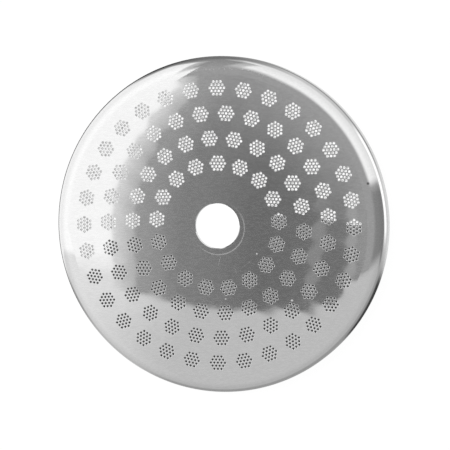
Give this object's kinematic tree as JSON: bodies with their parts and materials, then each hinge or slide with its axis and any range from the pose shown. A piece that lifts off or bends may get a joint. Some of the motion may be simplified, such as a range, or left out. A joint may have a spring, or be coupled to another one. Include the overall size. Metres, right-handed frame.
{
  "type": "espresso shower screen",
  "caption": "Round pressed stainless shower screen: flat face with rings of fine hole clusters, rounded shoulder, short wall, centre bore and a woven membrane inside.",
  "frame": {"origin": "on the bore axis, in the plane of the rim's lower edge", "axes": "+Z along the bore axis, out of the perforated face; +X towards the picture's right and +Y towards its top, the perforated face seen from above"},
  "size_m": [0.0564, 0.0564, 0.0048],
  "materials": {
    "cap_steel": "bright rolled stainless sheet, pressed and lightly polished, near mirror with a fine rolled grain",
    "membrane_steel": "plain woven stainless wire, dull silver"
  },
  "bodies": {
    "root": {"perforated_cap": "cap_steel", "woven_membrane": "membrane_steel"}
  },
  "joints": []
}
